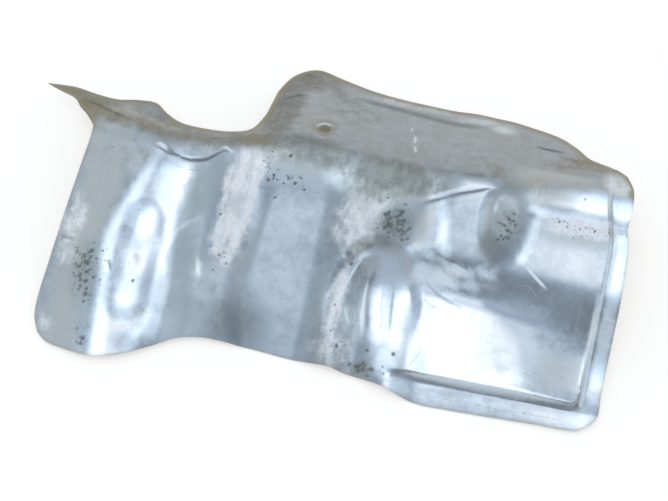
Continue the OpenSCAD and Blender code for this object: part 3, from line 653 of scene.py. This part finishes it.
mesh = bpy.data.meshes.new("heat_shield_skin")
mesh.from_pydata((placed / 1000).tolist(), [], [f for part in (upper, lower, bore, rim) for f in part.tolist()])
mesh.validate()
shield = bpy.data.objects.new("heat_shield_skin", mesh)
bpy.context.scene.collection.objects.link(shield)
mesh.polygons.foreach_set("use_smooth", np.ones(len(mesh.polygons), bool))
mesh.set_sharp_from_angle(angle=math.radians(55))
mesh.update()

# Marks on the upper side, as one value for each point: wear, stains, pits, painted shade and painted highlights
edge = top_plan[loop_of(grid)]
to_edge = np.concatenate([
    np.sqrt(((part[:, None] - edge[None]) ** 2).sum(-1).min(1)) for part in np.array_split(top_plan, 200)])
back_panel = ease((Y - track(X, RIDGE_LINE) + 5 * (1 - ease((X - 100) / 30))) / 8 + 0.5)
crease_shade_d, crease_shade_w, _ = strokes(X, Y, SHADED_CREASE_LINES)
scratch_highlight_d, scratch_highlight_w, _ = strokes(X, Y, SCRATCH_AND_HIGHLIGHT_LINES)
dots = np.full(len(X), 9.0)
rng = np.random.default_rng(11)
scattered = [(cx + rx * rng.normal(0, 0.55), cy + ry * rng.normal(0, 0.55), r_max * rng.uniform(0.45, 1.0))
             for cx, cy, rx, ry, number, r_max in CLUSTERS for _ in range(number)]
for cx, cy, r in DOTS + scattered:
    dots = np.minimum(dots, np.hypot(X - cx, Y - cy) / r)
MARKS = {
    "grime_and_shade": paint(X, Y, **GRIME_AND_SHADE), "sage": paint(X, Y, **SAGE), "haze": paint(X, Y, **HAZE), "dull": paint(X, Y, **DULL), "back": back_panel,
    "shade_and_stain": paint(X, Y, **SHADE_AND_STAIN), "painted_highlight": paint(X, Y, **PAINTED_HIGHLIGHT), "pits": paint(X, Y, **PITS), "tan": paint(X, Y, **TAN), "painted_blue_shade": paint(X, Y, **PAINTED_BLUE_SHADE), "painted_pale_reflection": paint(X, Y, **PAINTED_PALE_REFLECTION),
    "edge": np.minimum(to_edge, 9.0), "dots": dots, "crease_shade_d": crease_shade_d, "crease_shade_w": crease_shade_w,
    "scratch_highlight_d": scratch_highlight_d, "scratch_highlight_w": scratch_highlight_w,
}
BELOW = {"dull": 0.6, "edge": 9.0, "dots": 9.0, "crease_shade_d": 9.0, "scratch_highlight_d": 9.0}
for name, values in MARKS.items():
    mark = mesh.attributes.new(name, "FLOAT", "POINT")
    mark.data.foreach_set("value", np.concatenate([values, np.full(len(bottom), BELOW.get(name, 0.0))]))


# Weathered aluminium, its colour carrying painted shade and painted highlights besides wear and stains
metal = bpy.data.materials.new("weathered_aluminium")
metal.use_nodes = True
nodes, links = metal.node_tree.nodes, metal.node_tree.links
bsdf = nodes["Principled BSDF"]
coord = nodes.new("ShaderNodeTexCoord")


def feed(socket, value):
    if hasattr(value, "is_output"):
        links.new(value, socket)
    else:
        socket.default_value = value


def calc(operation, a, b=0.0, c=0.0, clamp=False):
    node = nodes.new("ShaderNodeMath")
    node.operation, node.use_clamp = operation, clamp
    for socket, value in zip(node.inputs, (a, b, c)):
        feed(socket, value)
    return node.outputs[0]


def fit(value, lo, hi, to_lo=0.0, to_hi=1.0):
    node = nodes.new("ShaderNodeMapRange")
    node.interpolation_type = "SMOOTHSTEP"
    for socket, v in zip(node.inputs, (value, lo, hi, to_lo, to_hi)):
        feed(socket, v)
    return node.outputs[0]


def tint(under, over, amount, blend="MIX"):
    node = nodes.new("ShaderNodeMix")
    node.data_type, node.blend_type = "RGBA", blend
    feed(node.inputs[0], amount)
    feed(node.inputs[6], under)
    feed(node.inputs[7], over)
    return node.outputs[2]


def grain(size_mm, detail=2.0, rough=0.5, seed=0.0, stretch=1.0):
    node = nodes.new("ShaderNodeTexNoise")
    node.noise_dimensions = "4D"
    node.inputs["W"].default_value = seed
    node.inputs["Scale"].default_value = 1000 / size_mm
    node.inputs["Detail"].default_value = detail
    node.inputs["Roughness"].default_value = rough
    squeeze = nodes.new("ShaderNodeVectorMath")
    squeeze.operation = "MULTIPLY"
    squeeze.inputs[1].default_value = (1.0, 1.0 / stretch, 1.0)
    links.new(coord.outputs["Object"], squeeze.inputs[0])
    links.new(squeeze.outputs[0], node.inputs["Vector"])
    return node.outputs["Fac"]


def marked(name):
    node = nodes.new("ShaderNodeAttribute")
    node.attribute_name = name
    return node.outputs["Fac"]


def rgb(r, g, b):
    return (r, g, b, 1.0)


fine, mottle, cloud = grain(1.6, 3.0, 0.6), grain(7.0, 4.0, 0.6, 3.0), grain(30.0, 3.0, 0.5, 5.0)
spread = calc("ADD", calc("MULTIPLY", mottle, 0.7), calc("MULTIPLY", cloud, 0.3))
blot = fit(grain(5.0, 4.0, 0.65, 9.0, 2.2), 0.38, 0.62)


def film(name, low, high, wander):
    shaken = calc("ADD", marked(name), calc("MULTIPLY", calc("SUBTRACT", spread, 0.5), wander))
    present = fit(marked(name), 0.0, 0.25)
    return calc("MULTIPLY", fit(shaken, low, high), present)


grime_and_shade, haze = film("grime_and_shade", 0.0, 0.85, 1.4), film("haze", 0.0, 0.85, 2.4)
sage, dull, tan = film("sage", 0.0, 1.0, 2.0), film("dull", 0.0, 1.0, 1.2), film("tan", 0.0, 0.9, 1.6)
shade_and_stain, painted_highlight = film("shade_and_stain", 0.0, 1.0, 1.2), film("painted_highlight", 0.0, 0.9, 1.0)
painted_blue_shade, painted_pale_reflection = film("painted_blue_shade", 0.0, 1.0, 0.8), film("painted_pale_reflection", 0.0, 1.0, 1.6)
haze = calc("MULTIPLY", haze, fit(blot, 0.0, 1.0, 0.42, 1.0))
grime_and_shade = calc("MULTIPLY", grime_and_shade, fit(blot, 0.0, 1.0, 1.0, 0.75))
back_film = calc("MULTIPLY", marked("back"), fit(spread, 0.35, 0.65, 0.8, 0.45))
stain = fit(spread, 0.40, 0.60)
edge_tan = calc("ADD", marked("edge"), calc("MULTIPLY", calc("SUBTRACT", spread, 0.5), 14.0))
edge_tan = calc("MULTIPLY", calc("MULTIPLY", fit(edge_tan, 6.5, 0.5), marked("back")), 0.75)
tan = calc("MAXIMUM", tan, edge_tan)

speckle = grain(2.0, 3.0, 0.7, 13.0)
limit = calc("SUBTRACT", 0.66, calc("MULTIPLY", marked("pits"), 0.12))
speck = calc("MULTIPLY", fit(speckle, limit, calc("ADD", limit, 0.04)), fit(marked("pits"), 0.0, 0.2))
ragged = calc("ADD", marked("dots"), calc("MULTIPLY", calc("SUBTRACT", speckle, 0.5), 2.6))
dot = fit(ragged, 1.2, 0.3)
pit = calc("MAXIMUM", calc("MULTIPLY", speck, 0.75), calc("MULTIPLY", dot, 0.9))


def line(distance, weight, wander):
    off = calc("ABSOLUTE", marked(distance))
    core = fit(calc("ADD", off, calc("MULTIPLY", calc("SUBTRACT", fine, 0.5), wander)), 1.9, 0.1)
    return calc("MULTIPLY", core, marked(weight))


# Painted shade along the creases, and pale lines of scratches and painted highlights
crease_shade_line, scratch_and_highlight_line = line("crease_shade_d", "crease_shade_w", 1.0), line("scratch_highlight_d", "scratch_highlight_w", 1.2)
rim_dirt = fit(marked("edge"), 2.6, 0.6)

color = tint(rgb(0.455, 0.465, 0.475), rgb(0.385, 0.39, 0.395), fit(spread, 0.62, 0.38))
color = tint(color, tint(rgb(0.46, 0.48, 0.485), rgb(0.345, 0.335, 0.31), stain), back_film)
color = tint(color, rgb(0.60, 0.58, 0.53), calc("MULTIPLY", dull, 0.9))
color = tint(color, rgb(0.43, 0.48, 0.475), calc("MULTIPLY", sage, 0.9))
# Painted highlights
color = tint(color, rgb(0.80, 0.82, 0.82), painted_highlight)
color = tint(color, rgb(1.0, 0.92, 0.875), haze)
# Painted bluish shade
color = tint(color, rgb(0.40, 0.455, 0.55), calc("MULTIPLY", painted_blue_shade, 0.8))
# Painted pale blue sky reflection
color = tint(color, rgb(0.88, 0.95, 1.0), painted_pale_reflection)
# Grime, and painted shade along the bend
color = tint(color, tint(rgb(0.33, 0.335, 0.30), rgb(0.27, 0.25, 0.205), marked("back")), grime_and_shade)
color = tint(color, rgb(0.33, 0.27, 0.16), calc("MULTIPLY", tan, 0.9))
# Painted shade, and a few stains
color = tint(color, rgb(0.16, 0.17, 0.17), calc("MULTIPLY", shade_and_stain, 0.7))
rim_dirt = calc("MULTIPLY", rim_dirt, fit(marked("back"), 0.0, 1.0, 0.25, 0.95))
color = tint(color, rgb(0.42, 0.34, 0.22), rim_dirt)
color = tint(color, rgb(0.10, 0.11, 0.10), calc("MULTIPLY", pit, 0.85))
# Painted shade along the creases
color = tint(color, rgb(0.085, 0.095, 0.11), calc("MULTIPLY", crease_shade_line, 0.85))
# Pale lines: scratches and painted highlights
color = tint(color, rgb(1.0, 1.0, 1.0), scratch_and_highlight_line)
matte = calc("ADD", calc("MULTIPLY", fine, 0.16), 0.92)
shade_node = nodes.new("ShaderNodeMix")
shade_node.data_type, shade_node.blend_type = "RGBA", "MULTIPLY"
shade_node.inputs[0].default_value = 1.0
links.new(color, shade_node.inputs[6])
links.new(matte, shade_node.inputs[7])
feed(bsdf.inputs["Base Color"], shade_node.outputs[2])

cover = calc("MAXIMUM", calc("MAXIMUM", calc("MULTIPLY", grime_and_shade, 0.85), calc("MULTIPLY", haze, 0.8)),
             calc("MAXIMUM", calc("MULTIPLY", dull, 0.7), calc("MULTIPLY", tan, 0.8)))
cover = calc("MAXIMUM", cover, calc("MAXIMUM", calc("MULTIPLY", pit, 0.9), calc("MULTIPLY", scratch_and_highlight_line, 0.85)))
cover = calc("MAXIMUM", cover, calc("MAXIMUM", calc("MULTIPLY", sage, 0.7), calc("MULTIPLY", painted_highlight, 0.15)))
cover = calc("MAXIMUM", cover, calc("MAXIMUM", calc("MULTIPLY", crease_shade_line, 0.6), calc("MULTIPLY", back_film, 0.6)))
cover = calc("MAXIMUM", cover, calc("MAXIMUM", calc("MULTIPLY", painted_blue_shade, 0.85), calc("MULTIPLY", painted_pale_reflection, 0.9)))
cover = calc("MAXIMUM", cover, calc("MULTIPLY", rim_dirt, 0.8))
feed(bsdf.inputs["Metallic"], calc("SUBTRACT", 1.0, cover, clamp=True))
feed(bsdf.inputs["Roughness"], calc("ADD", calc("ADD", 0.24, calc("MULTIPLY", mottle, 0.06)), calc("MULTIPLY", cover, 0.32), clamp=True))
bsdf.inputs["Specular IOR Level"].default_value = 0.35

relief_h = calc("ADD", calc("MULTIPLY", fine, 0.012), calc("MULTIPLY", mottle, 0.02))
relief_h = calc("SUBTRACT", relief_h, calc("MULTIPLY", pit, 0.08))
relief_h = calc("SUBTRACT", relief_h, calc("MULTIPLY", crease_shade_line, 0.15))
bump = nodes.new("ShaderNodeBump")
bump.inputs["Strength"].default_value = 1.0
bump.inputs["Distance"].default_value = 0.001
feed(bump.inputs["Height"], relief_h)
links.new(bump.outputs["Normal"], bsdf.inputs["Normal"])
mesh.materials.append(metal)
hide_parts("heat_shield")
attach(shield, "root")

# Floor
floor_mesh = bpy.data.meshes.new("floor")
R = 6.0
floor_mesh.from_pydata([(-R, -R, 0), (R, -R, 0), (R, R, 0), (-R, R, 0)], [], [(0, 1, 2, 3)])
floor = bpy.data.objects.new("floor", floor_mesh)
bpy.context.scene.collection.objects.link(floor)
paper = bpy.data.materials.new("pale_floor")
paper.use_nodes = True
fn, fl = paper.node_tree.nodes, paper.node_tree.links
fn.clear()
f_out = fn.new("ShaderNodeOutputMaterial")
f_dif = fn.new("ShaderNodeBsdfDiffuse")
f_dif.inputs["Color"].default_value = (0.74, 0.66, 0.58, 1)
f_emi = fn.new("ShaderNodeEmission")
f_path = fn.new("ShaderNodeLightPath")
f_sum = fn.new("ShaderNodeMath")
f_sum.operation = "MAXIMUM"
f_max = fn.new("ShaderNodeMath")
f_max.operation = "MAXIMUM"
f_mul = fn.new("ShaderNodeMath")
f_mul.operation = "MULTIPLY"
f_mul.inputs[1].default_value = 0.52
fl.new(f_path.outputs["Is Camera Ray"], f_max.inputs[0])
fl.new(f_path.outputs["Is Transmission Ray"], f_max.inputs[1])
fl.new(f_max.outputs[0], f_sum.inputs[0])
fl.new(f_path.outputs["Is Glossy Ray"], f_sum.inputs[1])
fl.new(f_sum.outputs[0], f_mul.inputs[0])
# No light of its own under the hole, where the shield shades the floor
SHADE_AT, SHADE_R = (-0.0128, 0.0796, 0.0), 0.012
f_place = fn.new("ShaderNodeNewGeometry")
f_far = fn.new("ShaderNodeVectorMath")
f_far.operation = "DISTANCE"
f_far.inputs[1].default_value = SHADE_AT
f_open = fn.new("ShaderNodeMapRange")
f_open.inputs["From Min"].default_value = 0.6 * SHADE_R
f_open.inputs["From Max"].default_value = SHADE_R
f_open.inputs["To Min"].default_value = 0.1
f_lit = fn.new("ShaderNodeMath")
f_lit.operation = "MULTIPLY"
fl.new(f_place.outputs["Position"], f_far.inputs[0])
fl.new(f_far.outputs["Value"], f_open.inputs["Value"])
fl.new(f_mul.outputs[0], f_lit.inputs[0])
fl.new(f_open.outputs["Result"], f_lit.inputs[1])
fl.new(f_lit.outputs[0], f_emi.inputs["Strength"])
f_add = fn.new("ShaderNodeAddShader")
fl.new(f_dif.outputs[0], f_add.inputs[0])
fl.new(f_emi.outputs[0], f_add.inputs[1])
fl.new(f_add.outputs[0], f_out.inputs[0])
floor_mesh.materials.append(paper)

# World: soft room light with a bright patch high behind the shield
world = bpy.data.worlds.new("studio")
bpy.context.scene.world = world
world.use_nodes = True
wn, wl = world.node_tree.nodes, world.node_tree.links
wn.clear()
out = wn.new("ShaderNodeOutputWorld")
back = wn.new("ShaderNodeBackground")
way = wn.new("ShaderNodeTexCoord")
dot_p = wn.new("ShaderNodeVectorMath")
dot_p.operation = "DOT_PRODUCT"
KEY = np.array([-0.09, 0.02, 0.995])
dot_p.inputs[1].default_value = KEY / np.linalg.norm(KEY)
wl.new(way.outputs["Generated"], dot_p.inputs[0])
sky = wn.new("ShaderNodeValToRGB")
els = sky.color_ramp.elements
sky.color_ramp.interpolation = "LINEAR"
SKY = [(0.0, (0.70, 0.71, 0.70)), (0.40, (0.70, 0.73, 0.75)), (0.65, (0.60, 0.69, 0.78)), (0.80, (0.56, 0.69, 0.84)),
       (0.90, (0.56, 0.73, 0.92)), (0.95, (0.72, 0.93, 1.17)), (0.97, (1.2, 1.48, 1.80)), (0.985, (1.9, 2.2, 2.5)),
       (1.0, (2.9, 2.95, 3.0))]
els[0].position, els[1].position = 0.0, 1.0
els[0].color, els[1].color = SKY[0][1] + (1,), SKY[-1][1] + (1,)
for pos, col in SKY[1:-1]:
    els.new(pos).color = col + (1,)
wl.new(dot_p.outputs["Value"], sky.inputs["Fac"])
# The side that the camera stands on is darker near the floor
SHADE_START, SHADE_END, SHADE = 0.30, 0.62, 0.62
axes = wn.new("ShaderNodeSeparateXYZ")
wl.new(way.outputs["Generated"], axes.inputs[0])
front = wn.new("ShaderNodeMapRange")
front.interpolation_type = "SMOOTHSTEP"
for socket, value in zip(list(front.inputs)[1:5], (-SHADE_START, -SHADE_END, 1.0, SHADE)):
    socket.default_value = value
wl.new(axes.outputs["Y"], front.inputs["Value"])
wl.new(front.outputs["Result"], back.inputs["Strength"])
wl.new(sky.outputs["Color"], back.inputs["Color"])
wl.new(back.outputs[0], out.inputs[0])

# Camera
AZ, EL, DIST, MM_PX = math.radians(12), math.radians(64), 1.5, 0.7
cam_data = bpy.data.cameras.new("camera")
cam = bpy.data.objects.new("camera", cam_data)
bpy.context.scene.collection.objects.link(cam)
bpy.context.scene.camera = cam
target = np.array([0, 0, 20.0]) + shift
away = np.array([math.sin(AZ) * math.cos(EL), -math.cos(AZ) * math.cos(EL), math.sin(EL)])
cam.location = target / 1000 + away * DIST
cam.rotation_euler = (math.pi / 2 - EL, 0, AZ)
cam_data.sensor_width = 36
cam_data.lens = 36 * DIST * 1000 / MM_PX / 668
cam_data.clip_end = 50

bpy.context.scene.view_settings.view_transform = "Standard"
